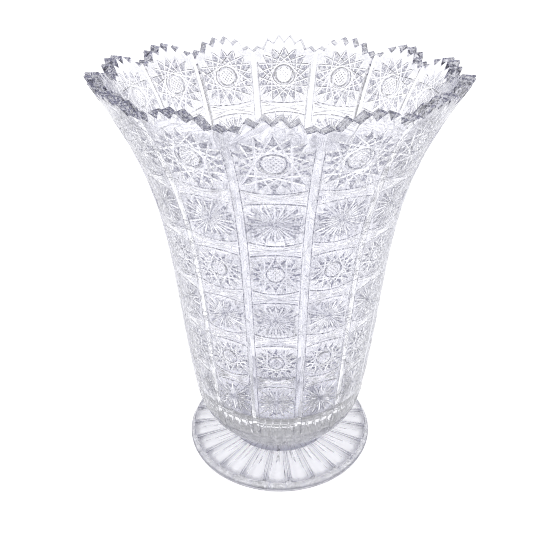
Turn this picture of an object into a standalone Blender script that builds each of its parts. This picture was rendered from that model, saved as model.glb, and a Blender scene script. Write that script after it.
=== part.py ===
"""Cut crystal vase: a flared, wheel-cut bowl bonded by a clear film to a fluted round foot.

Metres, +Z up. The foot rests on z = 0 and the vase's axis is the Z axis. A panel of the bowl
and a flute of the foot are both centred on the -Y side.
"""

import math

import bmesh
import bpy

MM = 0.001

# Foot: a round disc with a short central stub, fluted on its upper side.
FOOT_R = 76.3 * MM  # widest point of the rounded edge
FOOT_EDGE_Z = 2.4 * MM  # height of that widest point
FOOT_BEVEL_IN = 3.5 * MM  # how far the shoulder slopes in from the edge to the flutes
FOOT_TOP_Z = 9.7 * MM  # height of the ridges between the flutes, at their outer ends
FOOT_DISH_RISE = 1.3 * MM  # how much higher the plate is where the flutes end near the centre
FLUTES = 24
FLUTE_LENGTH = 30.0 * MM
FLUTE_DEPTH = 3.2 * MM
STUB_RISE = 3.4 * MM  # height of the ground stub above the plate
NECK_R = 19.0 * MM  # ground face of the stub
NECK_COVE = 7.0 * MM  # width of the hollow curve from the stub down to the plate

# Bond: a film of clear adhesive between two ground faces.
BOND_THICKNESS = 0.4 * MM
BOND_MARGIN = 0.8 * MM  # how far the film stays inside the edge of the stub
JOINT_GAP = 0.3 * MM  # clearance on each side of the film

# Bowl: its outline runs up from the ground pad, round the belly and out to the flared rim.
BOWL_HEIGHT = 289.6 * MM  # from the pad to the highest tooth
PAD_MARGIN = 1.5 * MM  # how much wider the bowl's ground pad is than the stub
RIM_R = 123.7 * MM  # outside radius at the highest tooth
RIM_PULL = (50.8 * MM, 76.9 * MM)  # flare: how far in and down the rim's curve is led
BELLY_R = 68.5 * MM  # where the round bottom turns into the tall wall
BELLY_Z = 42.5 * MM
BELLY_LEAN = (15.0 * MM, 106.9 * MM)  # outward lean of the wall above the belly
BELLY_DROP = (3.5 * MM, 25.3 * MM)  # the same lean, below the belly
PAD_REACH = 30.0 * MM  # length of the nearly flat underside
PAD_LIFT = 0.9 * MM
WALL_RIM = 7.6 * MM
WALL_BELLY = 8.6 * MM
BASE_THICKNESS = 24.0 * MM  # solid glass between the pad and the floor inside
FLOOR_CURVE_H = 30.0 * MM  # height of the round corner inside

# Cuts on the bowl.
PANELS = 14
TEETH = 6  # on the edge of each panel
TOOTH_DEPTH = 4.4 * MM
LOBE_RISE = 11.0 * MM  # height of a panel's arched top above its two ends
MITRE_HALF = 2.4 * MM  # half the width of the upright cut between two panels
MITRE_DEPTH = 1.4 * MM
MITRE_START_Z = 34.0 * MM  # height above the pad where the upright cuts run out
BANDS = 5
LOWEST_BAND = 88.5 * MM  # height above the pad
HIGHEST_BAND_DROP = 52.6 * MM  # below the highest tooth
BAND_HALF = 2.2 * MM
BAND_DEPTH = 0.7 * MM
LIP = 20.0 * MM  # height of the strip under the rim that takes the finer columns

# Fineness of the meshes.
COLUMNS_PER_FLUTE = 4
FLOOR_RINGS = 6
UNDERSIDE_RINGS = 6
INNER_RINGS = 9

PANEL_ANGLE = 2 * math.pi / PANELS
STATIONS = 2 * TEETH  # valley, tip, valley, tip along each panel's edge
QUARTER = TEETH // 2
# The stations that carry on below the rim, outside and inside the wall.
OUTER_STATIONS = (0, 1, QUARTER, TEETH, STATIONS - QUARTER, STATIONS - 1)
INNER_STATIONS = (0, QUARTER, TEETH, STATIONS - QUARTER)

PLATE_Z = FOOT_TOP_Z + FOOT_DISH_RISE
STUB_Z = PLATE_Z + STUB_RISE
BOND_Z = STUB_Z + JOINT_GAP
PAD_Z = BOND_Z + BOND_THICKNESS + JOINT_GAP


def clear_scene():
    for obj in list(bpy.data.objects):
        bpy.data.objects.remove(obj, do_unlink=True)


def glass(name, colour, roughness):
    """A clear material with its own tint."""
    material = bpy.data.materials.new(name)
    material.use_nodes = True
    shader = material.node_tree.nodes["Principled BSDF"]
    shader.inputs["Base Color"].default_value = (*colour, 1)
    shader.inputs["Roughness"].default_value = roughness
    shader.inputs["Metallic"].default_value = 0
    shader.inputs["IOR"].default_value = 1.545
    shader.inputs["Transmission Weight"].default_value = 1
    return material


def polar(angle, radius, height):
    """A point at this angle, counted anticlockwise from the front (-Y) side."""
    return (radius * math.sin(angle), -radius * math.cos(angle), height)


def finish(name, bm, material, crease):
    """Turns the mesh into a named object, smooth except across edges sharper than crease."""
    bmesh.ops.recalc_face_normals(bm, faces=bm.faces)
    mesh = bpy.data.meshes.new(name)
    bm.to_mesh(mesh)
    bm.free()
    mesh.shade_smooth()
    mesh.set_sharp_from_angle(angle=math.radians(crease))
    mesh.materials.append(material)
    obj = bpy.data.objects.new(name, mesh)
    bpy.context.scene.collection.objects.link(obj)
    return obj


def stitch(bm, lower, upper):
    """Joins two closed rings. Each is a list of (station, vertex), and the coarser one's
    stations are all among the finer one's."""
    coarse, fine = (lower, upper) if len(lower) <= len(upper) else (upper, lower)
    place = {station: index for index, (station, _) in enumerate(fine)}
    for (start, first), (end, last) in zip(coarse, coarse[1:] + coarse[:1]):
        index = place[start]
        run = [fine[index][1]]
        while fine[index][0] != end:
            index = (index + 1) % len(fine)
            run.append(fine[index][1])
        bm.faces.new([*run, last, first])


def close_ring(bm, ring):
    """A flat face across a ring."""
    bm.faces.new([vertex for _, vertex in ring])


def cubic(start, lead_out, lead_in, end, t):
    """A point on a cubic curve between start and end, led by the two points between."""
    s = 1 - t
    weights = (s**3, 3 * s * s * t, 3 * s * t * t, t**3)
    points = (start, lead_out, lead_in, end)
    return tuple(sum(w * p[axis] for w, p in zip(weights, points)) for axis in (0, 1))


def underside(t):
    """(radius, height above the pad) from the pad's edge, t = 0, to the belly, t = 1."""
    edge = NECK_R + PAD_MARGIN
    return cubic(
        (edge, 0),
        (edge + PAD_REACH, PAD_LIFT),
        (BELLY_R - BELLY_DROP[0], BELLY_Z - BELLY_DROP[1]),
        (BELLY_R, BELLY_Z),
        t,
    )


def side(t):
    """(radius, height above the pad) from the belly, t = 0, to the rim, t = 1."""
    return cubic(
        (BELLY_R, BELLY_Z),
        (BELLY_R + BELLY_LEAN[0], BELLY_Z + BELLY_LEAN[1]),
        (RIM_R - RIM_PULL[0], BOWL_HEIGHT - RIM_PULL[1]),
        (RIM_R, BOWL_HEIGHT),
        t,
    )


def outer_radius(height):
    """The bowl's outside radius at this height above the pad, found by halving."""
    curve = underside if height < BELLY_Z else side
    low, high = 0.0, 1.0
    for _ in range(40):
        middle = (low + high) / 2
        if curve(middle)[1] < height:
            low = middle
        else:
            high = middle
    return curve(low)[0]


def wall_across(height):
    """The wall's thickness measured level, where it is cut at this height."""
    step = 1 * MM
    below = min(height, BOWL_HEIGHT - step)
    slope = (outer_radius(below + step) - outer_radius(below)) / step
    share = min(max((height - BELLY_Z) / (BOWL_HEIGHT - BELLY_Z), 0), 1)
    wall = WALL_BELLY + share * (WALL_RIM - WALL_BELLY)
    return wall * math.hypot(1, slope)


def rim_height(station):
    """Height above the pad of a station on the toothed edge: odd ones are tips."""
    across = 2 * station / STATIONS - 1
    middle_tips = 1 / TEETH
    arch = BOWL_HEIGHT - LOBE_RISE * (across**2 - middle_tips**2)
    if station == 0:
        return BOWL_HEIGHT - LOBE_RISE
    return min(arch, BOWL_HEIGHT) - (0 if station % 2 else TOOTH_DEPTH)


def station_angle(panel, station, radius):
    """Panels meet half a panel to each side of the front. Stations next to an upright cut
    lie on its edges."""
    if station == 1:
        offset = math.asin(MITRE_HALF / radius)
    elif station == STATIONS - 1:
        offset = PANEL_ANGLE - math.asin(MITRE_HALF / radius)
    else:
        offset = PANEL_ANGLE * station / STATIONS
    return PANEL_ANGLE * (panel - 0.5) + offset


def outer_ring(bm, height, sunk=0.0):
    """A ring of the bowl's outside, with the upright cuts in it."""
    radius = outer_radius(height) - sunk
    cut = MITRE_DEPTH * min(max((height - MITRE_START_Z) / (BELLY_Z - MITRE_START_Z), 0), 1)
    ring = []
    for panel in range(PANELS):
        for station in OUTER_STATIONS:
            depth = cut if station == 0 else 0
            angle = station_angle(panel, station, radius)
            vertex = bm.verts.new(polar(angle, radius - depth, PAD_Z + height))
            ring.append(((panel, station), vertex))
    return ring


def rim_ring(bm, inside):
    """The toothed edge, on the outside or the inside of the wall."""
    ring = []
    for panel in range(PANELS):
        for station in range(STATIONS):
            height = rim_height(station)
            radius = outer_radius(height) - (wall_across(height) if inside else 0)
            angle = PANEL_ANGLE * (panel - 0.5 + station / STATIONS)
            vertex = bm.verts.new(polar(angle, radius, PAD_Z + height))
            ring.append(((panel, station), vertex))
    return ring


def inner_ring(bm, radius, height):
    """A ring of the bowl's smooth inside, with fewer columns than the outside."""
    ring = []
    for panel in range(PANELS):
        for station in INNER_STATIONS:
            angle = PANEL_ANGLE * (panel - 0.5 + station / STATIONS)
            ring.append(((panel, station), bm.verts.new(polar(angle, radius, PAD_Z + height))))
    return ring


def side_rings(bm):
    """Rings of the tall wall: one below and one above each band, one sunk along it, and one
    halfway up to the next."""
    rings = []
    top = BOWL_HEIGHT - LIP
    step = (BOWL_HEIGHT - HIGHEST_BAND_DROP - LOWEST_BAND) / (BANDS - 1)
    bands = [LOWEST_BAND + step * index for index in range(BANDS)]
    for band, above in zip(bands, [*bands[1:], top]):
        rings.append(outer_ring(bm, band - BAND_HALF))
        rings.append(outer_ring(bm, band, BAND_DEPTH))
        rings.append(outer_ring(bm, band + BAND_HALF))
        rings.append(outer_ring(bm, (band + above) / 2))
    rings.append(outer_ring(bm, top))
    return rings


def make_bowl(material):
    """Up the outside, over the toothed edge, down the inside and across the floor."""
    bm = bmesh.new()
    outside = []
    for index in range(UNDERSIDE_RINGS + 1):
        outside.append(outer_ring(bm, underside(index / UNDERSIDE_RINGS)[1]))
    outside += side_rings(bm)
    outside.append(rim_ring(bm, inside=False))
    top = BOWL_HEIGHT - LIP
    corner = BASE_THICKNESS + FLOOR_CURVE_H
    corner_r = outer_radius(corner) - wall_across(corner)
    inside = [rim_ring(bm, inside=True)]
    for index in range(INNER_RINGS):
        height = top + (corner - top) * index / (INNER_RINGS - 1)
        inside.append(inner_ring(bm, outer_radius(height) - wall_across(height), height))
    for index in range(1, FLOOR_RINGS):
        turn = math.pi / 2 * index / FLOOR_RINGS
        height = corner - FLOOR_CURVE_H * math.sin(turn)
        inside.append(inner_ring(bm, corner_r * math.cos(turn), height))
    rings = outside + inside
    for first, second in zip(rings, rings[1:]):
        stitch(bm, first, second)
    close_ring(bm, rings[0])
    close_ring(bm, rings[-1])
    return finish("bowl", bm, material, crease=20)


def foot_rows():
    """(radius, height, share of the flute's depth) from the stub's edge out and down."""
    flute_end = FOOT_R - FOOT_BEVEL_IN
    flute_start = flute_end - FLUTE_LENGTH
    rows = [(NECK_R, STUB_Z, 0)]
    for share in (0.25, 0.5, 0.75, 1):
        drop = STUB_RISE * math.sin(share * math.pi / 2)
        rows.append((NECK_R + NECK_COVE * share**1.5, STUB_Z - drop, 0))
    for share in (0, 0.06, 0.2, 0.45, 0.75, 1):
        height = PLATE_Z - FOOT_DISH_RISE * share
        rows.append((flute_start + FLUTE_LENGTH * share, height, math.sqrt(share)))
    rows.append((FOOT_R - FOOT_BEVEL_IN / 3, FOOT_EDGE_Z + (FOOT_TOP_Z - FOOT_EDGE_Z) / 3, 0))
    rows.append((FOOT_R, FOOT_EDGE_Z, 0))
    rows.append((FOOT_R - FOOT_EDGE_Z / 3, FOOT_EDGE_Z / 3, 0))
    rows.append((FOOT_R - FOOT_EDGE_Z, 0, 0))
    return rows


def make_foot(material):
    """The fluted disc, from the ground stub out over the flutes and under the edge."""
    bm = bmesh.new()
    columns = FLUTES * COLUMNS_PER_FLUTE
    rings = []
    for radius, height, share in foot_rows():
        ring = []
        for column in range(columns):
            across = 2 * (column % COLUMNS_PER_FLUTE) / COLUMNS_PER_FLUTE - 1
            sunk = FLUTE_DEPTH * share * (1 - across**2)
            angle = 2 * math.pi * (column / columns - 0.5 / FLUTES)
            ring.append((column, bm.verts.new(polar(angle, radius, height - sunk))))
        rings.append(ring)
    for first, second in zip(rings, rings[1:]):
        stitch(bm, first, second)
    close_ring(bm, rings[0])
    close_ring(bm, rings[-1])
    return finish("foot", bm, material, crease=25)


def make_bond(material):
    """The adhesive film, with a slightly rounded edge where it was squeezed out."""
    bm = bmesh.new()
    bmesh.ops.create_cone(
        bm,
        cap_ends=True,
        segments=FLUTES * 2,
        radius1=NECK_R - BOND_MARGIN,
        radius2=NECK_R - BOND_MARGIN,
        depth=BOND_THICKNESS,
    )
    bmesh.ops.translate(bm, verts=bm.verts, vec=(0, 0, BOND_Z + BOND_THICKNESS / 2))
    level = BOND_THICKNESS / 10
    rim = [edge for edge in bm.edges if abs(edge.verts[0].co.z - edge.verts[1].co.z) < level]
    bmesh.ops.bevel(bm, geom=rim, offset=BOND_THICKNESS / 4, segments=1, affect="EDGES")
    return finish("bond_film", bm, material, crease=50)


def main():
    clear_scene()
    make_bowl(glass("bowl_crystal", (0.94, 0.945, 0.97), 0.02))
    make_bond(glass("clear_adhesive", (0.97, 0.97, 0.96), 0.06))
    make_foot(glass("foot_crystal", (0.94, 0.945, 0.97), 0.03))


main()
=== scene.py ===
import math

import bmesh
import bpy
import numpy as np
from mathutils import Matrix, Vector
from mathutils.geometry import delaunay_2d_cdt


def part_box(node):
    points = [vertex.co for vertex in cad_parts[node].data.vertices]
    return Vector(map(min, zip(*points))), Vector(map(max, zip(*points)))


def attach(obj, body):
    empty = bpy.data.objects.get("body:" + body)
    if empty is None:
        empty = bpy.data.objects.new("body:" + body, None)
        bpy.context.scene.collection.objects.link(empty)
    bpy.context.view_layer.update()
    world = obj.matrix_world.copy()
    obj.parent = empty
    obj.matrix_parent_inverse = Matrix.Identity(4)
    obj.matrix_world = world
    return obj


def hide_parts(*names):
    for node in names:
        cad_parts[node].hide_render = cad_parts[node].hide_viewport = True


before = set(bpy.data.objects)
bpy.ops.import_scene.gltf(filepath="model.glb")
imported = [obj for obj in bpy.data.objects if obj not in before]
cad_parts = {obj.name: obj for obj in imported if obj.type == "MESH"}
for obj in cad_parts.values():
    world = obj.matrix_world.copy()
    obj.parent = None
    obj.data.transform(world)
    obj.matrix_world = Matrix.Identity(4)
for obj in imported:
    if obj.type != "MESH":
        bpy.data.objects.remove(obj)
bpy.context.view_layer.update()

bl_info = {
    "name": "Cut crystal vase",
    "version": (1, 0, 0),
    "blender": (4, 5, 0),
    "location": "3D View > Sidebar > Crystal vase",
    "description": "A flared, wheel-cut crystal bowl on a fluted foot, with its studio stage",
    "category": "Add Mesh",
}

MM = 0.001
BOWL_LOW, BOWL_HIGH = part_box("bowl")
FOOT_LOW, FOOT_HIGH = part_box("foot")
BOND_LOW, BOND_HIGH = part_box("bond_film")
PAD_Z = BOWL_LOW.z
RIM_Z = BOWL_HIGH.z
FOOT_R = FOOT_HIGH.x

MITRE, ARC, RING, POINTS, RIB = 1, 2, 3, 4, 5  # kinds of cut, each with its own painted shade
SLOPE = 0.8  # depth of a V cut over half its width
CRYSTAL = (0.965, 0.965, 1.0)
# Brightness of the studio by how far up a ray points: 0 is level, 1 is straight up.
STUDIO = ((0.0, 1.0), (0.3, 1.0), (0.42, 0.3), (1.0, 0.28))


def length(name, default, description):
    """A size in metres that shows in the sidebar."""
    return bpy.props.FloatProperty(
        name=name, description=description, default=default, min=0, unit="LENGTH"
    )


def tint(name, default, description):
    """A colour that shows in the sidebar."""
    return bpy.props.FloatVectorProperty(
        name=name,
        description=description,
        default=default,
        size=3,
        subtype="COLOR",
        min=0,
        max=1,
    )


def amount(name, default, description):
    """A plain number that shows in the sidebar."""
    return bpy.props.FloatProperty(
        name=name, description=description, default=default, min=0, precision=3
    )


def count_of(name, default, least, description):
    """A whole number that shows in the sidebar."""
    return bpy.props.IntProperty(
        name=name, description=description, default=default, min=least
    )


class BowlSizes(bpy.types.PropertyGroup):
    """Sizes of the bowl and of the cuts on it."""

    panels: count_of("Panels", 14, 6, "Upright panels round the bowl")
    teeth: count_of("Teeth", 6, 2, "Teeth on the edge of each panel")
    rim_radius: length("Rim radius", 123.7 * MM, "Outside radius at the highest tooth")
    belly_radius: length("Belly radius", 68.5 * MM, "Where the round bottom meets the wall")
    belly_height: length("Belly height", 42.5 * MM, "Height of that place above the pad")
    pad_radius: length("Pad radius", 20.5 * MM, "The ground face that is bonded to the foot")
    wall_rim: length("Wall at the rim", 7.6 * MM, "Thickness of the glass at the rim")
    wall_belly: length("Wall at the belly", 8.6 * MM, "Thickness of the glass at the belly")
    base: length("Base", 24.0 * MM, "Solid glass under the floor inside")
    floor_curve: length("Floor curve", 30.0 * MM, "Height of the round corner inside")
    tooth_depth: length("Tooth depth", 4.4 * MM, "Depth of the cuts between teeth")
    lobe_rise: length("Lobe rise", 11.0 * MM, "Height of a panel's arched top")
    chamfer: length("Edge chamfer", 0.6 * MM, "Narrow bevel along the toothed edge")
    uncut: length("Uncut bottom", 44.0 * MM, "Plain glass up the outside from the pad")
    rib_half: length("Rib half width", 2.3 * MM, "Half the upright cut between panels")
    rib_depth: length("Rib depth", 1.3 * MM, "Depth of the upright cut between panels")
    rib_fade: length("Rib fade", 20.0 * MM, "How far the upright cut takes to deepen")


class FootSizes(bpy.types.PropertyGroup):
    """Sizes of the foot and of its flutes."""

    flutes: count_of("Flutes", 24, 8, "Flutes round the foot")
    edge_height: length("Edge height", 2.4 * MM, "Height of the widest line of the foot")
    shoulder_height: length("Shoulder height", 9.7 * MM, "Height of the ridges' outer ends")
    shoulder_in: length("Shoulder", 3.5 * MM, "How far the shoulder slopes in from the edge")
    plate_height: length("Plate height", 11.0 * MM, "Height of the plate beside the stub")
    plate_fall: length("Plate fall", 1.3 * MM, "How much the flutes fall towards the edge")
    neck_radius: length("Neck radius", 19.0 * MM, "The ground face that is bonded to the bowl")
    cove: length("Cove", 7.0 * MM, "Width of the curve from the stub to the plate")
    flute_length: length("Flute length", 30.0 * MM, "From a flute's point to its open end")
    flute_depth: length("Flute depth", 3.2 * MM, "Depth of a flute at its open end")
    ray_depth: length("Ray depth", 2.0 * MM, "Depth of the rays cut into the underside")


class GlassLook(bpy.types.PropertyGroup):
    """Colours and finish of the glass, and the colour of its painted shade."""

    bowl_tint: tint("Bowl", CRYSTAL, "Colour of the bowl's crystal")
    foot_tint: tint("Foot", CRYSTAL, "Colour of the foot's crystal")
    film_tint: tint("Film", (0.96, 0.96, 0.95), "Colour of the adhesive film")
    # Painted shade: the cuts' facets and glass seen edge-on are painted towards this colour,
    # standing in for their shading
    shade: tint("Shade", (0.07, 0.07, 0.12), "Colour that the shaded parts of the cuts tend to")
    index: amount("Index", 1.545, "Refractive index of lead crystal")
    film_index: amount("Film index", 1.5, "Refractive index of the adhesive")
    bowl_rough: amount("Bowl roughness", 0.022, "Roughness all over the bowl")
    foot_rough: amount("Foot roughness", 0.004, "Roughness all over the foot")
    cut_rough: amount("Cut roughness", 0.06, "Roughness that a cut adds")


class StageLook(bpy.types.PropertyGroup):
    """The floor's light, the studio's light and the camera's place."""

    floor_radius: length("Floor radius", 12.0, "Radius of the pale floor")
    floor_gap: length("Floor gap", 0.4 * MM, "How far the floor lies under the foot")
    floor_glow: amount("Floor glow", 0.8, "Light that the floor gives off by itself")
    light: amount("Light", 1.38, "Strength of the studio's light")
    camera_away: length("Camera distance", 432.3 * MM, "From the axis, along the floor")
    camera_height: length("Camera height", 393.0 * MM, "Height of the camera")
    camera_turn: amount("Camera turn", 1.8, "Degrees round the vase from the front")
    camera_tilt: amount("Camera tilt", 28.651, "Degrees that the camera looks down")
    camera_lens: amount("Lens", 43.936, "Focal length, in millimetres")
    camera_shift: amount("Shift", 0.02495, "Shift of the picture to the left, as a share of it")


# ---------------------------------------------------------------- shader maths


class Wire:
    """A shader socket that can be used in sums: 1 - mask * 2 adds the Math nodes."""

    def __init__(self, tree, socket):
        self.tree = tree
        self.socket = socket

    def math(self, operation, *others):
        """Any other Math node, with this socket first."""
        return node(self.tree, "ShaderNodeMath", {"operation": operation}, self, *others)

    def __add__(self, other):
        return self.math("ADD", other)

    def __sub__(self, other):
        return self.math("SUBTRACT", other)

    def __mul__(self, other):
        return self.math("MULTIPLY", other)

    def __rsub__(self, other):
        return node(self.tree, "ShaderNodeMath", {"operation": "SUBTRACT"}, other, self)

    __radd__ = __add__
    __rmul__ = __mul__


def node(tree, kind, settings, *values, out=0, **named):
    """Adds a node, sets it up, and links or sets its sockets in order or by name."""
    made = tree.nodes.new(kind)
    for key, value in settings.items():
        if key == "stops":
            ramp = made.color_ramp
            while len(ramp.elements) < len(value):
                ramp.elements.new(0.5)
            for element, (place, grey) in zip(ramp.elements, value):
                element.position = place
                element.color = (grey, grey, grey, 1)
        else:
            setattr(made, key, value)
    pairs = list(enumerate(values))
    pairs += [(key.replace("_", " ").title(), value) for key, value in named.items()]
    for key, value in pairs:
        if isinstance(value, Wire):
            tree.links.new(value.socket, made.inputs[key])
        elif value is not None:
            made.inputs[key].default_value = value
    return Wire(tree, made.outputs[out])


def ramp(tree, value, *stops):
    """A grey ramp of (place, grey) stops."""
    return node(tree, "ShaderNodeValToRGB", {"stops": stops}, value)


def mixed(tree, factor, first, second):
    """The colour that lies this far from the first one to the second."""
    unused = [None] * 5
    return node(
        tree, "ShaderNodeMix", {"data_type": "RGBA"}, factor, *unused, first, second, out=2
    )


def crystal(name, colour, index, wave, haze):
    """Polished glass with the slight unevenness that polishing leaves. Gives the
    material, its tree, and the sockets of its place, its colour and its roughness."""
    material = bpy.data.materials.new(name)
    material.use_nodes = True
    tree = material.node_tree
    shader = tree.nodes["Principled BSDF"]
    shader.inputs["Transmission Weight"].default_value = 1
    shader.inputs["IOR"].default_value = index
    place = node(tree, "ShaderNodeTexCoord", {}, out=3)
    drift = node(tree, "ShaderNodeTexNoise", {}, vector=place, scale=22.0, detail=2.0)
    film = node(tree, "ShaderNodeTexNoise", {}, vector=place, scale=420.0, detail=3.0)
    denser = tuple(channel * 0.975 for channel in colour)
    body = mixed(tree, drift, (*denser, 1), (*colour, 1))
    rough = film * haze
    bump = node(tree, "ShaderNodeBump", {}, strength=wave, distance=0.2 * MM, height=drift)
    tree.links.new(body.socket, shader.inputs["Base Color"])
    tree.links.new(rough.socket, shader.inputs["Roughness"])
    tree.links.new(bump.socket, shader.inputs["Normal"])
    return material, tree, place, body, rough


def cut_crystal(name, colour, look, wall_rough, least_shade):
    """Crystal whose Base Color carries painted shade. It reads the attribute "cut" on the
    corners of its faces:
    above 0 the glass there is painted that much darker, towards the shade colour, standing in
    for the shading of the cut facets; below 0 it lies on a polished V cut. Glass seen edge-on
    is painted darker as well. The last argument is the least painted shade between the specks:
    1 gives even shade."""
    material, tree, place, body, rough = crystal(name, colour, look.index, 0.05, 0.02)
    shader = tree.nodes["Principled BSDF"]
    share = node(tree, "ShaderNodeAttribute", {"attribute_name": "cut"}, out=2)
    # Speck noise breaks the painted shade up at random
    specks = node(tree, "ShaderNodeTexNoise", {}, vector=place, scale=700.0, detail=1.0)
    varied = ramp(tree, specks, (0.46, least_shade), (0.56, 1.0))
    sparse = ramp(tree, specks, (0.45, 0.2), (0.56, 1.0))
    # Painted shade by view angle: glass seen edge-on is painted darker, in specks
    facing = node(tree, "ShaderNodeLayerWeight", {}, 0.3, out=1)
    edge = ramp(tree, facing, (0.36, 0.0), (0.66, 1.0)) * sparse
    polished = (share * -1.0).math("MAXIMUM", 0.0)
    # Painted shade from the "cut" tones, joined with the edge-on painted shade and mixed into
    # Base Color towards the shade colour
    shaded = share.math("MAXIMUM", 0.0) * varied
    painted_shade = 1 - (1 - shaded) * (1 - edge)
    painted_shade = painted_shade * (2 - painted_shade)
    body = mixed(tree, painted_shade, body, (*look.shade, 1))
    rough = rough + painted_shade * look.cut_rough + polished * look.cut_rough + wall_rough
    tree.links.new(body.socket, shader.inputs["Base Color"])
    tree.links.new(rough.socket, shader.inputs["Roughness"])
    return material


# ---------------------------------------------------------------- mesh helpers


def polar(angle, radius, height):
    """A point at this angle, counted anticlockwise from the front (-Y) side."""
    return (radius * math.sin(angle), -radius * math.cos(angle), height)


def scatter(k):
    """A number from 0 to 1 that is fixed for each k and follows no pattern."""
    return math.sin(k * 12.99) * 437.58 % 1


def piece_from(bm, name, material, nodes, crease):
    """Turns a closed mesh into a finished piece that rides on the root body."""
    mesh = bpy.data.meshes.new(name)
    bm.to_mesh(mesh)
    bm.free()
    obj = bpy.data.objects.new(name, mesh)
    bpy.context.scene.collection.objects.link(obj)
    mesh.materials.append(material)
    bpy.ops.object.select_all(action="DESELECT")
    obj.select_set(True)
    bpy.context.view_layer.objects.active = obj
    bpy.ops.object.shade_smooth_by_angle(angle=math.radians(crease))
    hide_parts(*nodes)
    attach(obj, "root")
    return obj


def bridge(bm, lower, upper):
    """Joins two closed rings of (angle, vertex), in order of angle, with triangles."""
    turn = 2 * math.pi
    i = j = 0
    while i < len(lower) or j < len(upper):
        here, there = lower[i % len(lower)], upper[j % len(upper)]
        next_low = lower[(i + 1) % len(lower)][0] + turn * ((i + 1) // len(lower))
        next_high = upper[(j + 1) % len(upper)][0] + turn * ((j + 1) // len(upper))
        if j >= len(upper) or (i < len(lower) and next_low <= next_high):
            bm.faces.new((here[1], lower[(i + 1) % len(lower)][1], there[1]))
            i += 1
        else:
            bm.faces.new((here[1], upper[(j + 1) % len(upper)][1], there[1]))
            j += 1


def plain_ring(bm, panels, radius, height, columns=6):
    """A ring of (angle, vertex) with the same columns on each panel, from a rib on."""
    step = 2 * math.pi / (columns * panels)
    turns = [step * (k - columns / 2) for k in range(columns * panels)]
    return [(turn, bm.verts.new(polar(turn, radius, height))) for turn in turns]


def close_with_pole(bm, ring, height):
    """A fan from a ring to one vertex on the axis."""
    pole = bm.verts.new((0, 0, height))
    for (_, first), (_, second) in zip(ring, ring[1:] + ring[:1]):
        bm.faces.new((first, second, pole))


def toned_face(bm, mark, verts, tones):
    """A face with its own painted shade at each corner."""
    face = bm.faces.new(verts)
    for corner, tone in zip(face.loops, tones):
        corner[mark] = tone


# ---------------------------------------------------------------- outline of the bowl


class Outline:
    """The bowl's outline: radius and height by distance up the outside from the pad."""

    SAMPLES = 600

    def __init__(self, sizes):
        self.sizes = sizes
        height = RIM_Z - PAD_Z
        pad, belly, belly_z = sizes.pad_radius, sizes.belly_radius, sizes.belly_height
        under = (
            (pad, 0),
            (pad + 30 * MM, 0.9 * MM),
            (belly - 3.5 * MM, belly_z - 25.3 * MM),
            (belly, belly_z),
        )
        side = (
            (belly, belly_z),
            (belly + 15 * MM, belly_z + 106.9 * MM),
            (sizes.rim_radius - 50.8 * MM, height - 76.9 * MM),
            (sizes.rim_radius, height),
        )
        t = np.linspace(0, 1, self.SAMPLES)[:, None]
        weights = ((1 - t) ** 3, 3 * (1 - t) ** 2 * t, 3 * (1 - t) * t**2, t**3)
        curves = [
            sum(weight * np.array(point) for weight, point in zip(weights, points))
            for points in (under, side)
        ]
        line = np.vstack([curves[0], curves[1][1:]])
        self.radius, self.height = line[:, 0], line[:, 1] + PAD_Z
        steps = np.hypot(np.diff(self.radius), np.diff(self.height))
        self.along = np.concatenate([[0], np.cumsum(steps)])
        out = np.gradient(self.height, self.along)
        up = -np.gradient(self.radius, self.along)
        self.normal = np.stack([out, up], axis=1)

    def r(self, s):
        """The radius at this distance up the outside."""
        return np.interp(s, self.along, self.radius)

    def z(self, s):
        """The height at this distance up the outside."""
        return np.interp(s, self.along, self.height)

    def s_at(self, z):
        """The distance up the outside at this height."""
        return np.interp(z, self.height, self.along)

    def sunk(self, s, depth):
        """(radius, height) of a point this deep under the surface."""
        out = np.interp(s, self.along, self.normal[:, 0])
        up = np.interp(s, self.along, self.normal[:, 1])
        return self.r(s) - depth * out, self.z(s) - depth * up

    def half(self, s):
        """Half the width of a panel, measured round the surface."""
        return self.r(s) * math.pi / self.sizes.panels

    def inside(self, z):
        """The inner radius at a height, where the wall's thickness is cut level."""
        s = self.s_at(z)
        share = np.clip((z - PAD_Z - self.sizes.belly_height) / (RIM_Z - PAD_Z), 0, 1)
        wall = self.sizes.wall_belly + share * (self.sizes.wall_rim - self.sizes.wall_belly)
        return self.r(s) - wall / np.maximum(np.interp(s, self.along, self.normal[:, 0]), 0.3)


# ---------------------------------------------------------------- the cuts of one panel


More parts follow.
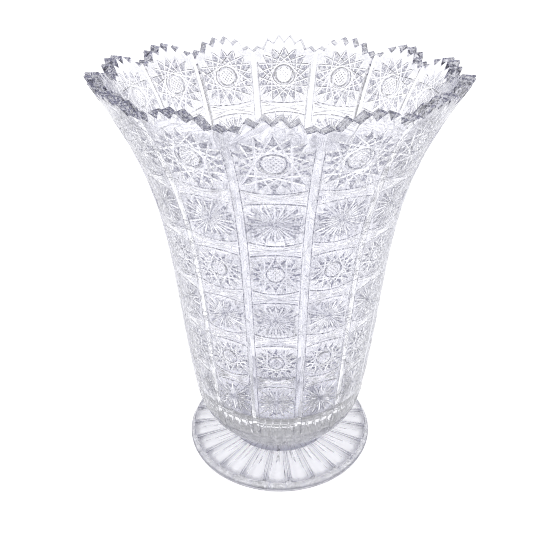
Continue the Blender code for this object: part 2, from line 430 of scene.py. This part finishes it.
class Panel:
    """One panel laid out flat: x runs across it and s up the outside, in metres."""

    CLEAR = 0.95 * MM  # plain glass left between the ornament and a rib
    SHORT = 0.8 * MM  # no groove is shorter
    STUB = 1.4 * MM  # taper where a groove is cut off
    LEANING = (57 * MM, 83 * MM)  # the zone of leaning cuts under the lowest fan
    LEANING_HALF = 13 * MM
    ROUND = 28  # points round a circle
    # Painted shade of each kind of cut, standing in for the shading of its facets; -1 marks a
    # polished cut, which is not darkened
    TONE = {MITRE: -1.0, ARC: 1.0, RING: 0.9, POINTS: 1.0, RIB: 0.15}

    def __init__(self, outline):
        self.outline = outline
        self.sizes = outline.sizes
        self.points = []
        self.lines = []
        self.straight = []  # both ends, half width, slope, taper at each end, kind
        self.rings = []  # x, s, middle radius, half width, slope
        self.buttons = []  # x, s, radius, pitch, depth
        self.cells = []  # s, half width, half height, reach, painted shade of the ground in it

    def add(self, x, s):
        """A point that the mesh has to have."""
        self.points.append((x, s))
        return len(self.points) - 1

    def chain(self, places):
        """Edges that the mesh has to follow."""
        marks = [self.add(*place) for place in places]
        self.lines += list(zip(marks, marks[1:]))

    def edge_of_field(self, s, margin=0.0):
        """How far from the middle the ornament may reach beside the rib."""
        return self.outline.half(s) - self.sizes.rib_half - margin

    def clipped(self, a, b, low, high):
        """The stretch of the segment a-b that lies in the field between two heights, and
        whether it was cut off at each end."""
        t = np.linspace(0, 1, 240)
        x = a[0] + (b[0] - a[0]) * t
        s = a[1] + (b[1] - a[1]) * t
        good = (np.abs(x) < self.edge_of_field(s, self.CLEAR)) & (s > low) & (s < high)
        if good.sum() < 4:
            return None
        inside = np.flatnonzero(good)
        first, last = inside[0], inside[-1]
        return (x[first], s[first]), (x[last], s[last]), first > 0, last < len(t) - 1

    def groove(self, a, b, half, tapers, low=None, high=None, kind=MITRE):
        """A straight V cut that narrows to a point at each end."""
        if low is not None:
            kept = self.clipped(a, b, low, high)
            if kept is None:
                return
            a, b, *cut_off = kept
            tapers = [min(t, self.STUB) if cut else t for t, cut in zip(tapers, cut_off)]
        a, b = np.array(a, float), np.array(b, float)
        size = np.hypot(*(b - a))
        if size < self.SHORT:
            return
        along = (b - a) / size
        across = np.array([-along[1], along[0]])
        total = sum(tapers)
        if total > 0.98 * size:
            tapers = [t * 0.98 * size / total for t in tapers]
            half = half * 0.98 * size / total
        p, q = a + along * tapers[0], b - along * tapers[1]
        self.chain([a, p, q, b])
        for side in (half, -half):
            self.chain([a, p + across * side, q + across * side, b])
        self.straight.append((*a, *b, half, SLOPE, *tapers, kind))

    def ring(self, x, s, inner, outer, slope):
        """A round V cut."""
        middle, half = (inner + outer) / 2, (outer - inner) / 2
        turns = [2 * math.pi * k / self.ROUND for k in range(self.ROUND)]
        for radius in (inner, middle, outer):
            marks = [
                self.add(x + radius * math.cos(turn), s + radius * math.sin(turn))
                for turn in turns
            ]
            self.lines += list(zip(marks, marks[1:] + marks[:1]))
        self.rings.append((x, s, middle, half, slope))

    def button(self, x, s, radius, pitch, depth):
        """A round field of small four-sided points, between two sets of slanting cuts."""
        self.buttons.append((x, s, radius, pitch, depth))
        slant = math.sqrt(0.5)
        reach = int(radius / pitch) + 1
        for k in range(-reach, reach + 1):
            offset = (k + 0.5) * pitch
            room = (radius - 0.12 * MM) ** 2 - offset**2
            if room <= 0:
                continue
            ends = math.sqrt(room)
            for c, d in ((slant, slant), (slant, -slant)):
                self.chain(
                    [(x + c * e - d * offset, s + d * e + c * offset) for e in (-ends, ends)]
                )
        for k in range(-reach, reach + 1):
            for m in range(-reach, reach + 1):
                u, v = k * pitch, m * pitch
                if math.hypot(u, v) < radius - 0.35 * pitch:
                    self.add(x + slant * (u - v), s + slant * (u + v))

    def cut(self, x, s):
        """(depth, share, kind) of the deepest cut at each place: share is 1 along a cut's
        middle line and 0 at its edges."""
        found, share = np.zeros_like(x), np.zeros_like(x)
        kinds = np.zeros(len(x), int)

        def take(deep, part, kind):
            nonlocal found, share, kinds
            share = np.where(deep > found, np.clip(part, 0, 1), share)
            kinds = np.where(deep > found, kind, kinds)
            found = np.maximum(found, deep)

        for ax, as_, bx, bs, half, slope, taper_a, taper_b, kind in self.straight:
            size = math.hypot(bx - ax, bs - as_)
            ux, us = (bx - ax) / size, (bs - as_) / size
            t = (x - ax) * ux + (s - as_) * us
            away = np.abs((s - as_) * ux - (x - ax) * us)
            width = half * np.clip(np.minimum(t / taper_a, (size - t) / taper_b), 0, 1)
            take(slope * (width - away), 1 - away / np.maximum(width, 0.05 * MM), kind)
        for cx, cs, middle, half, slope in self.rings:
            away = np.abs(np.hypot(x - cx, s - cs) - middle)
            take(slope * (half - away), 1 - away / half, RING)
        for cx, cs, radius, pitch, deep in self.buttons:
            slant = math.sqrt(0.5)
            u = ((x - cx) + (s - cs)) * slant / pitch
            v = ((s - cs) - (x - cx)) * slant / pitch
            near = 2 * np.maximum(np.abs(u - np.round(u)), np.abs(v - np.round(v)))
            room = radius - np.hypot(x - cx, s - cs)
            take(np.minimum(deep * near, room * 1.2), near, POINTS)
        beside = (self.outline.half(s) - np.abs(x)) / self.sizes.rib_half
        fade = np.clip((s - self.sizes.uncut) / self.sizes.rib_fade, 0, 1)
        take(self.sizes.rib_depth * (1 - beside) * fade, 1 - beside, RIB)
        return found, share, kinds

    def depth(self, x, s):
        """How deep the glass is cut at each place."""
        return self.cut(x, s)[0]

    def ground(self, x, s):
        """The painted shade of the uncut ground at each place: stars and fans stand on a ground
        painted darker, with pointed edges, and their corners are painted fainter."""
        tone = np.zeros_like(x)
        for cs, rx, rs, reach, shade in self.cells:
            turn = np.arctan2((s - cs) / rs, x / rx) / (math.pi / 8)
            off = np.abs(turn - np.round(turn)) * math.pi / 8
            lean = 6 * math.pi / 16
            tip = math.cos(lean) / np.cos(lean - off)
            near = np.hypot(x / rx, (s - cs) / rs) < tip * reach
            tone = np.where(near, shade, tone)
            corner = ~near & (np.abs(s - cs) < rs * 0.95) & (np.abs(x) < rx)
            tone = np.where(corner, 0.3 * shade, tone)
        # Painted shade: the zone of leaning cuts is painted a little darker
        low, high = self.LEANING
        leaning = (s > low) & (s < high) & (np.abs(x) < self.LEANING_HALF)
        return np.where(leaning, 0.25, tone)

    def tones(self, places, depths, shares, faces):
        """The painted shade of each corner of each face, by the kind of cut the face lies in.
        """
        middle = places[faces].mean(axis=1)
        x, s = middle[:, 0], middle[:, 1]
        kinds = self.cut(x, s)[2][:, None]
        part = shares[faces]
        land = depths[faces].max(axis=1) < 0.01 * MM
        tone = np.where(kinds == MITRE, self.TONE[MITRE], 0)
        tone = np.where(kinds == ARC, self.TONE[ARC] * part, tone)
        tone = np.where(kinds == RING, self.TONE[RING] * part, tone)
        tone = np.where(kinds == POINTS, self.TONE[POINTS] * (1 - 2 * part), tone)
        tone = np.where(kinds == RIB, self.TONE[RIB] * (1 - part), tone)
        return np.where(land[:, None], self.ground(x, s)[:, None], tone)


def tooth_line(sizes):
    """(share across the panel, height) along the toothed edge, left to right."""
    stations = 2 * sizes.teeth
    blunt = 0.2 / stations
    line = []

    def arch(u):
        across = 2 * u - 1
        return min(RIM_Z - sizes.lobe_rise * (across**2 - 1 / sizes.teeth**2), RIM_Z)

    for k in range(stations + 1):
        u = k / stations
        if k in (0, stations):
            line.append((u, RIM_Z - sizes.lobe_rise))
        elif k % 2 == 0:
            line.append((u, arch(u) - sizes.tooth_depth))
        else:
            low = arch(u) - 0.13 * sizes.tooth_depth
            line += [(u - blunt, low), (u, arch(u)), (u + blunt, low)]
    return line


def star_points(count, s, rx, rs):
    """Tips of a star in the middle of the panel, stretched to its cell."""
    turns = [2 * math.pi * k / count for k in range(count)]
    return [(rx * math.cos(turn), s + rs * math.sin(turn)) for turn in turns]


def star(panel, s, rx, rs, half, button, low, high, at_rim=False):
    """A sixteen-point star of long cuts, each from one tip to the sixth tip on, round a
    raised button of fine points, with pairs of short cuts between its tips."""
    # Painted shade: the ground in the star's cell is painted darker, less so at the rim
    panel.cells.append((s, rx, rs, 1.0, 0.75 if at_rim else 0.9))
    low = max(low, s - rs * 1.12)
    width = panel.edge_of_field(s)
    for k in range(16):
        turn = 2 * math.pi * (k + 0.5) / 16
        c, d = math.cos(turn), math.sin(turn)
        if at_rim and d > 0.3:
            continue
        reach = min(width / max(abs(c), 0.01), rs * 1.1 / max(abs(d), 0.01))
        for lean in (turn - 0.05, turn + 0.05):
            c, d = math.cos(lean), math.sin(lean)
            panel.groove(
                (rx * 0.76 * c, s + rs * 0.76 * d),
                (reach * c, s + reach * d),
                0.45 * MM, (1.5 * MM, 1.5 * MM), low, high,
            )
    tips = star_points(16, s, rx, rs)
    for k in range(16):
        panel.groove(tips[k], tips[(k + 6) % 16], half, (3.2 * MM, 3.2 * MM), low, high)
    panel.ring(0, s, button, button * 1.36, 0.9)
    panel.button(0, s, button - 0.05 * MM, 2.0 * MM, 0.6 * MM)


def fan(panel, s, rs, low, high):
    """Thirty-two needle cuts that run out from the middle, long and short by turns."""
    width = panel.edge_of_field(s)
    # Painted shade: the ground in the fan's cell is painted darker
    panel.cells.append((s, width, rs * 1.05, 1.1, 0.75))
    needles = (
        (1.0 * MM, 1.0, 0.65 * MM, (7 * MM, 3.5 * MM)),
        (2.2 * MM, 0.78, 0.35 * MM, (5 * MM, 3.5 * MM)),
    )
    for k in range(32):
        turn = 2 * math.pi * k / 32
        c, d = math.cos(turn), math.sin(turn)
        reach = min(width / max(abs(c), 0.01), rs / max(abs(d), 0.01))
        start, share, half, tapers = needles[k % 2]
        end = reach * share
        panel.groove(
            (start * c, s + start * d), (end * c, s + end * d), half, tapers, low, high
        )


def band(panel, s, rise):
    """Long thin cuts that cross in the middle of the panel, between two bowed ones."""
    wide = panel.edge_of_field(s, 0.3 * MM)
    low, high = s - 2 * rise, s + 2 * rise
    for end, half in ((rise * 0.72, 0.6 * MM), (rise * 0.3, 0.4 * MM)):
        for side in (end, -end):
            panel.groove((-wide, s - side), (wide, s + side), half, (5 * MM, 5 * MM), low, high)
    blunt = (0.3 * MM, 0.3 * MM)
    for flip in (1, -1):
        bow = [
            (wide * t, s + flip * rise * (0.62 + 0.42 * t * t))
            for t in (k / 3 - 1 for k in range(7))
        ]
        for a, b in zip(bow, bow[1:]):
            panel.groove(a, b, 0.6 * MM, blunt, low, high, ARC)


def lay_out_cuts(outline):
    """All the cuts of one panel, by distance up the outside."""
    panel = Panel(outline)
    for s in (117.3, 154.9, 191.0, 228.5, 267.7):
        band(panel, s * MM, 5.6 * MM)
    top = outline.along[-1]
    star(
        panel, 293.5 * MM, 25.5 * MM, 22.5 * MM, 0.7 * MM, 6.1 * MM,
        273.5 * MM, top, at_rim=True,
    )
    fan(panel, 248.6 * MM, 14 * MM, 234.0 * MM, 262.2 * MM)
    star(panel, 209.8 * MM, 17.5 * MM, 14.0 * MM, 0.55 * MM, 4.9 * MM, 196.5 * MM, 223.0 * MM)
    fan(panel, 172.9 * MM, 12.5 * MM, 160.4 * MM, 185.5 * MM)
    star(panel, 136.1 * MM, 16.0 * MM, 13.5 * MM, 0.55 * MM, 4.6 * MM, 122.8 * MM, 149.4 * MM)
    fan(panel, 98.0 * MM, 14 * MM, 84.0 * MM, 111.8 * MM)
    heights = [h * MM for h in (62, 82, 104, 128, 152, 178, 204, 230, 256, 280, 304)]
    for side in (1, -1):
        line = [(side * panel.edge_of_field(h, 0.45 * MM), h) for h in heights]
        for a, b in zip(line, line[1:]):
            panel.groove(a, b, 0.38 * MM, (0.3 * MM, 0.3 * MM), kind=ARC)
    low, high = panel.LEANING
    for k in range(10):
        x = (k - 4.5) * 2.9 * MM
        lean = 2.2 * MM * (k % 2 * 2 - 1)
        panel.groove(
            (x - lean, low + MM), (x + lean, high - MM), 0.55 * MM, (5 * MM, 5 * MM), low, high
        )
    return panel


def triangulate(panel):
    """(places, triangles) of a panel: its border, its toothed edge and every cut's lines
    are followed, and loose points fill the plain glass between them."""
    outline, sizes = panel.outline, panel.sizes
    bottom = sizes.uncut
    corner = outline.s_at(RIM_Z - sizes.lobe_rise)
    rows = np.linspace(bottom, corner, 90)
    rim = []
    for u, z in tooth_line(sizes):
        s = outline.s_at(z - sizes.chamfer)
        rim.append(((2 * u - 1) * outline.half(s), s))
    columns = 8
    border = [(outline.half(bottom) * (2 * k / columns - 1), bottom) for k in range(columns)]
    border += [(outline.half(s), s) for s in rows[:-1]]
    border += rim[::-1]
    border += [(-outline.half(s), s) for s in rows[-2:0:-1]]
    marks = [panel.add(*place) for place in border]
    ribs = rows[(rows > bottom + 2 * MM) & (rows < corner - 2 * MM)]
    for side in (1, -1):
        panel.chain([(side * (outline.half(s) - sizes.rib_half), s) for s in ribs])
    loose = []
    for s in np.arange(bottom + 4 * MM, outline.along[-1] - 3 * MM, 5.2 * MM):
        wide = outline.half(s)
        loose += [(x, s) for x in np.linspace(-wide, wide, 9)[1:-1]]
    loose = np.array(loose)
    free = panel.depth(loose[:, 0], loose[:, 1]) <= 1e-6
    for x, s in loose[free]:
        panel.add(x, s)
    flat = [Vector((x / MM, s / MM)) for x, s in panel.points]
    points, _, faces, *_ = delaunay_2d_cdt(flat, panel.lines, [marks], 1, 1e-3)
    places = np.array([tuple(point) for point in points]) * MM
    return places, np.array([face for face in faces if len(face) == 3])


def flip_edges(places, depths, faces, panel, rounds=4):
    """Turns edges so that the flat facets follow the creases between crossing cuts."""
    mesh = bmesh.new()
    verts = [mesh.verts.new((x, s, 0)) for x, s in places]
    mesh.verts.index_update()
    for a, b, c in faces:
        mesh.faces.new((verts[a], verts[b], verts[c]))
    mesh.verts.ensure_lookup_table()

    def side_of(o, p, q):
        """Which side of the line o-p the point q lies on, for each row."""
        p, q = p - o, q - o
        return p[:, 0] * q[:, 1] - p[:, 1] * q[:, 0]

    def error_along(first, second, here, there):
        """How far the middle of an edge would lie off the cut surface."""
        middle = (first + second) / 2
        return np.abs(panel.depth(middle[:, 0], middle[:, 1]) - (here + there) / 2)

    for _ in range(rounds):
        mesh.edges.ensure_lookup_table()
        found = []
        for edge in mesh.edges:
            if len(edge.link_faces) != 2:
                continue
            a, b = edge.verts
            others = [v for f in edge.link_faces for v in f.verts if v not in edge.verts]
            if len(others) == 2:
                found.append((edge, a.index, b.index, others[0].index, others[1].index))
        ends = np.array([row[1:] for row in found])
        pa, pb, pc, pd = (places[ends[:, k]] for k in range(4))
        da, db, dc, dd = (depths[ends[:, k]] for k in range(4))
        convex = (side_of(pc, pd, pa) * side_of(pc, pd, pb) < -1e-16) & (
            side_of(pa, pb, pc) * side_of(pa, pb, pd) < -1e-16
        )
        now_off = error_along(pa, pb, da, db)
        then_off = error_along(pc, pd, dc, dd)
        better = convex & (then_off + 2e-6 < now_off)
        touched = set()
        turned = 0
        for k in np.argsort(-(now_off - then_off)):
            edge, *corners = found[k]
            if not better[k] or touched & set(corners):
                continue
            touched |= set(corners)
            if bmesh.utils.edge_rotate(edge, False) is not None:
                turned += 1
        if not turned:
            break
    out = [[v.index for v in face.verts] for face in mesh.faces]
    mesh.free()
    return np.array(out)


def wrap_panels(bm, mark, outline):
    """Puts a cut panel round the bowl for each of its sides and welds them. Gives the
    open rings at the toothed edge and at the bottom, as (angle, vertex)."""
    sizes = outline.sizes
    panel = lay_out_cuts(outline)
    places, faces = triangulate(panel)
    x, s = places[:, 0], places[:, 1]
    depths, shares, _ = panel.cut(x, s)
    faces = flip_edges(places, depths, faces, panel)
    tones = panel.tones(places, depths, shares, faces)
    radius, height = outline.sunk(s, depths)
    turn = x / outline.r(s)
    for k in range(sizes.panels):
        angle = turn + 2 * math.pi / sizes.panels * k
        verts = [
            bm.verts.new(place)
            for place in zip(radius * np.sin(angle), -radius * np.cos(angle), height)
        ]
        for corners, shade in zip(faces, tones):
            toned_face(bm, mark, [verts[corner] for corner in corners], shade)
    bmesh.ops.remove_doubles(bm, verts=bm.verts, dist=0.01 * MM)
    rim, bottom = [], []
    for v in {v for edge in bm.edges if len(edge.link_faces) == 1 for v in edge.verts}:
        angle = math.atan2(v.co.x, -v.co.y) % (2 * math.pi)
        (rim if v.co.z > (PAD_Z + RIM_Z) / 2 else bottom).append((angle, v))
    rim.sort(key=lambda pair: pair[0])
    bottom.sort(key=lambda pair: pair[0])
    return rim, bottom


def edge_strip(bm, mark, outline, rim):
    """The toothed edge: a bevel on each side, and on each flank of each tooth a facet
    with a painted shade outline, one flank painted darker than the other. Gives the ring that
    the inside starts from."""
    chamfer = outline.sizes.chamfer

    def row(radius_at, rise):
        return [bm.verts.new(polar(angle, radius_at(v), v.co.z + rise)) for angle, v in rim]

    def inner(v):
        return float(outline.inside(v.co.z))

    outer_line = [v for _, v in rim]
    outer_top = row(lambda v: math.hypot(v.co.x, v.co.y) - chamfer, chamfer)
    inner_top = row(lambda v: inner(v) + chamfer, chamfer)
    inner_line = row(inner, 0)

    def quads(low, high):
        return zip(low, low[1:] + low[:1], high[1:] + high[:1], high)

    # Painted shade: the outer bevel is painted dark
    for corners in quads(outer_line, outer_top):
        toned_face(bm, mark, corners, (1.0, 1.0, 0.6, 0.6))
    # Painted shade: narrow tooth faces are painted dark all over; each wider one gets a facet
    # painted lighter on a rising flank than on a falling one, at random a little more, inside a
    # darker outline
    for k, corners in enumerate(quads(outer_top, inner_top)):
        here, there = corners[:2]
        if (here.co - there.co).length < 1.5 * MM:
            toned_face(bm, mark, corners, (1.0,) * 4)
            continue
        tone = (0.3 if here.co.z < there.co.z else 0.8) + 0.25 * scatter(k)
        middle = sum((v.co for v in corners), Vector()) / 4
        facet = [bm.verts.new(middle.lerp(v.co, 0.6)) for v in corners]
        toned_face(bm, mark, facet, (tone,) * 4)
        for a, b, c, d in quads(list(corners), facet):
            toned_face(bm, mark, (a, b, c, d), (1.0, 1.0, tone, tone))
    # Painted shade: the inner bevel is painted dark
    for corners in quads(inner_top, inner_line):
        toned_face(bm, mark, corners, (0.6, 0.6, 1.0, 1.0))
    return [(angle, v) for (angle, _), v in zip(rim, inner_line)]


def close_inside(bm, outline, ring):
    """The smooth wall inside, its round corner and its floor."""
    sizes = outline.sizes
    corner = PAD_Z + sizes.base + sizes.floor_curve
    corner_r = float(outline.inside(corner))
    top = RIM_Z - sizes.lobe_rise - 6 * MM
    levels = [(float(outline.inside(z)), z) for z in np.linspace(top, corner, 26)]
    for k in range(1, 10):
        a = math.pi / 2 * k / 10
        levels.append((corner_r * math.cos(a), corner - sizes.floor_curve * math.sin(a)))
    for radius, z in levels:
        lower = plain_ring(bm, sizes.panels, radius, z)
        bridge(bm, ring, lower)
        ring = lower
    close_with_pole(bm, ring, corner - sizes.floor_curve)


def close_underside(bm, outline, ring):
    """The uncut glass from the lowest cuts down to the pad."""
    for s in np.linspace(outline.sizes.uncut, 0, 14)[1:]:
        lower = plain_ring(bm, outline.sizes.panels, float(outline.r(s)), float(outline.z(s)))
        bridge(bm, ring, lower)
        ring = lower
    close_with_pole(bm, ring, PAD_Z)


def bowl_mesh(sizes):
    """The whole bowl as one closed mesh, with its painted shade in the attribute "cut"."""
    outline = Outline(sizes)
    bm = bmesh.new()
    mark = bm.loops.layers.float.new("cut")
    rim, bottom = wrap_panels(bm, mark, outline)
    close_inside(bm, outline, edge_strip(bm, mark, outline, rim))
    close_underside(bm, outline, bottom)
    bmesh.ops.recalc_face_normals(bm, faces=bm.faces)
    return bm


# ---------------------------------------------------------------- foot


# Columns of one flute, from the ridge on its left: place across it, and painted shade, darkest
# just beside each ridge.
FLUTE = (
    (-1, 0.0), (-0.93, 1.0), (-0.86, 0.7), (-0.6, 0.1), (-0.3, 0.25),
    (0, 0.0), (0.3, 0.1), (0.6, 0.3), (0.86, 0.5), (0.93, 1.0),
)
RAYS = {-1: 1.0, 0: 0.6}  # depth of the rays under a ridge and under a flute's middle


def foot_rows(sizes):
    """(radius, height, share of the flute's depth, painted shade) from the stub's top, over the
    plate and round the edge to the underside. A share below 0 is a ray's."""
    stub = FOOT_HIGH.z
    plate, fall, drop = sizes.plate_height, sizes.plate_fall, stub - sizes.plate_height
    end = FOOT_R - sizes.shoulder_in
    rows = [(sizes.neck_radius, stub, 0, 0)]
    for t in (0.2, 0.4, 0.6, 0.8, 1):
        sunk = drop * math.sin(t * math.pi / 2)
        rows.append((sizes.neck_radius + sizes.cove * t**1.5, stub - sunk, 0, 0))
    for t in (0, 0.02, 0.06, 0.14, 0.26, 0.4, 0.55, 0.7, 0.85, 0.96, 1):
        # Painted shade along a flute: darker at its ends than in its middle
        tone = 0.6 if 0.1 < t < 0.8 else 1.0
        rows.append((end - sizes.flute_length * (1 - t), plate - fall * t, math.sqrt(t), tone))
    shoulder, widest = sizes.shoulder_height, sizes.edge_height
    # Painted shade: dark and light lines painted round the shoulder and the edge
    rows += [
        (FOOT_R - sizes.shoulder_in * 0.75, shoulder - 1.8 * MM, 0, 0.3),
        (FOOT_R - sizes.shoulder_in / 3, widest + (shoulder - widest) / 3, 0, 0),
        (FOOT_R - 0.1 * MM, widest + 0.9 * MM, 0, 0.9),
        (FOOT_R, widest, 0, 0.2),
        (FOOT_R - 0.4 * MM, 0.9 * MM, 0, 0.9),
        (FOOT_R - 1.2 * MM, 0.25 * MM, 0, 0.2),
        (FOOT_R - 2.4 * MM, 0, 0, 0),
    ]
    rays = ((66, 0), (58, -0.6), (44, -1), (30, -0.8), (21, 0))
    return rows + [(r * MM, 0, share, 0) for r, share in rays]


def foot_mesh(sizes):
    """The whole foot as one closed mesh, with its painted shade in the attribute "cut"."""
    bm = bmesh.new()
    mark = bm.loops.layers.float.new("cut")
    tones = {}
    previous = None
    for radius, z, share, tone in foot_rows(sizes):
        ring = []
        for c in range(sizes.flutes * len(FLUTE)):
            flute, column = divmod(c, len(FLUTE))
            # The second value of a column is its painted shade
            across, ridge = FLUTE[column]
            angle = 2 * math.pi * (flute + across / 2) / sizes.flutes
            if share < 0:
                sink = sizes.ray_depth * share * RAYS.get(across, 0)
            else:
                sink = sizes.flute_depth * (1 - min(abs(across) / 0.93, 1) ** 2) * share
            vert = bm.verts.new(polar(angle, radius, z - sink))
            # Painted shade: each column's painted shade along the flute, and the flute's open
            # end painted darker
            open_end = 0.6 * tone if share > 0.96 else 0
            tones[vert] = 0.8 * (max(open_end, ridge * tone) if share else tone)
            ring.append((angle, vert))
        if previous is None:
            close_with_pole(bm, ring, z)
        else:
            upper, lower = [v for _, v in previous], [v for _, v in ring]
            for corners in zip(upper, upper[1:] + upper[:1], lower[1:] + lower[:1], lower):
                bm.faces.new(corners)
        previous = ring
    close_with_pole(bm, previous, 0)
    for face in bm.faces:
        for corner in face.loops:
            corner[mark] = tones.get(corner.vert, 0)
    bmesh.ops.recalc_face_normals(bm, faces=bm.faces)
    return bm


# ---------------------------------------------------------------- operators


class VASE_OT_bowl(bpy.types.Operator):
    """Makes the cut bowl"""

    bl_idname = "vase.bowl"
    bl_label = "Cut bowl"

    def execute(self, context):
        look = context.scene.vase_glass
        material = cut_crystal("bowl_crystal", look.bowl_tint, look, look.bowl_rough, 0.4)
        bm = bowl_mesh(context.scene.vase_bowl)
        piece_from(bm, "cut_bowl", material, ["bowl"], 16)
        return {"FINISHED"}


class VASE_OT_film(bpy.types.Operator):
    """Makes the clear film between the bowl and the foot"""

    bl_idname = "vase.film"
    bl_label = "Bond film"

    def execute(self, context):
        look = context.scene.vase_glass
        bpy.ops.object.select_all(action="DESELECT")
        thick = BOND_HIGH.z - BOND_LOW.z
        bpy.ops.mesh.primitive_cylinder_add(
            vertices=96,
            radius=BOND_HIGH.x,
            depth=thick,
            location=(0, 0, (BOND_HIGH.z + BOND_LOW.z) / 2),
        )
        film = bpy.context.object
        film.name = film.data.name = "clear_bond"
        bpy.ops.object.mode_set(mode="EDIT")
        bpy.ops.mesh.select_all(action="SELECT")
        bpy.ops.mesh.bevel(offset=thick * 0.3, segments=3, affect="EDGES")
        bpy.ops.object.mode_set(mode="OBJECT")
        bpy.ops.object.transform_apply(location=True, rotation=True, scale=True)
        bpy.ops.object.shade_smooth_by_angle(angle=math.radians(40))
        material, *_ = crystal("clear_adhesive", look.film_tint, look.film_index, 0.02, 0.05)
        film.data.materials.append(material)
        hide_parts("bond_film")
        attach(film, "root")
        return {"FINISHED"}


class VASE_OT_foot(bpy.types.Operator):
    """Makes the fluted foot"""

    bl_idname = "vase.foot"
    bl_label = "Fluted foot"

    def execute(self, context):
        look = context.scene.vase_glass
        material = cut_crystal("foot_crystal", look.foot_tint, look, look.foot_rough, 0.9)
        bm = foot_mesh(context.scene.vase_foot)
        piece_from(bm, "fluted_foot", material, ["foot"], 20)
        return {"FINISHED"}


class VASE_OT_stage(bpy.types.Operator):
    """Sets up the pale floor, the studio light and the camera"""

    bl_idname = "vase.stage"
    bl_label = "Studio stage"

    def execute(self, context):
        scene = context.scene
        stage = scene.vase_stage
        bpy.ops.object.select_all(action="DESELECT")
        bpy.ops.mesh.primitive_circle_add(
            vertices=64, radius=stage.floor_radius, fill_type="NGON"
        )
        floor = bpy.context.object
        floor.name = "floor"
        bpy.ops.transform.translate(value=(0, 0, -stage.floor_gap))
        paint = bpy.data.materials.new("white_floor")
        paint.use_nodes = True
        shader = paint.node_tree.nodes["Principled BSDF"]
        shader.inputs["Base Color"].default_value = (0.9, 0.9, 0.9, 1)
        shader.inputs["Roughness"].default_value = 0.9
        shader.inputs["Specular IOR Level"].default_value = 0.0
        shader.inputs["Emission Color"].default_value = (0.99, 0.99, 1, 1)
        shader.inputs["Emission Strength"].default_value = stage.floor_glow
        floor.data.materials.append(paint)
        world = bpy.data.worlds.new("studio")
        world.use_nodes = True
        scene.world = world
        tree = world.node_tree
        direction = node(tree, "ShaderNodeTexCoord", {}, out=0)
        up = node(tree, "ShaderNodeSeparateXYZ", {}, direction, out=2)
        glow = ramp(tree, up, *STUDIO)
        back = tree.nodes["Background"]
        tree.links.new(glow.socket, back.inputs["Color"])
        back.inputs["Strength"].default_value = stage.light
        camera = bpy.data.objects.new("camera", bpy.data.cameras.new("camera"))
        scene.collection.objects.link(camera)
        turn = math.radians(stage.camera_turn)
        camera.location = polar(turn, stage.camera_away, stage.camera_height)
        camera.rotation_euler = (math.radians(90 - stage.camera_tilt), 0, turn)
        camera.data.sensor_width = 36
        camera.data.lens = stage.camera_lens
        camera.data.shift_x = -stage.camera_shift
        camera.data.clip_start = 0.01
        scene.camera = camera
        scene.view_settings.view_transform = "Standard"
        scene.cycles.max_bounces = 40
        scene.cycles.transmission_bounces = 40
        scene.cycles.glossy_bounces = 16
        scene.cycles.filter_width = 1.0
        return {"FINISHED"}


class VASE_PT_panel(bpy.types.Panel):
    """Lists the vase's pieces and sizes in the sidebar"""

    bl_idname = "VASE_PT_panel"
    bl_label = "Crystal vase"
    bl_space_type = "VIEW_3D"
    bl_region_type = "UI"
    bl_category = "Crystal vase"

    def draw(self, context):
        for step in STEPS:
            self.layout.operator(step.bl_idname)
        for name in GROUPS:
            group = getattr(context.scene, name)
            for key in group.bl_rna.properties.keys():
                if key not in ("rna_type", "name"):
                    self.layout.prop(group, key)


STEPS = (VASE_OT_bowl, VASE_OT_film, VASE_OT_foot, VASE_OT_stage)
GROUPS = {
    "vase_bowl": BowlSizes,
    "vase_foot": FootSizes,
    "vase_glass": GlassLook,
    "vase_stage": StageLook,
}
CLASSES = (*GROUPS.values(), *STEPS, VASE_PT_panel)


def register():
    for cls in CLASSES:
        bpy.utils.register_class(cls)
    for name, group in GROUPS.items():
        setattr(bpy.types.Scene, name, bpy.props.PointerProperty(type=group))


def unregister():
    for name in GROUPS:
        delattr(bpy.types.Scene, name)
    for cls in reversed(CLASSES):
        bpy.utils.unregister_class(cls)


def main():
    register()
    bpy.ops.vase.bowl()
    bpy.ops.vase.film()
    bpy.ops.vase.foot()
    bpy.ops.vase.stage()


if __name__ == "__main__":
    main()
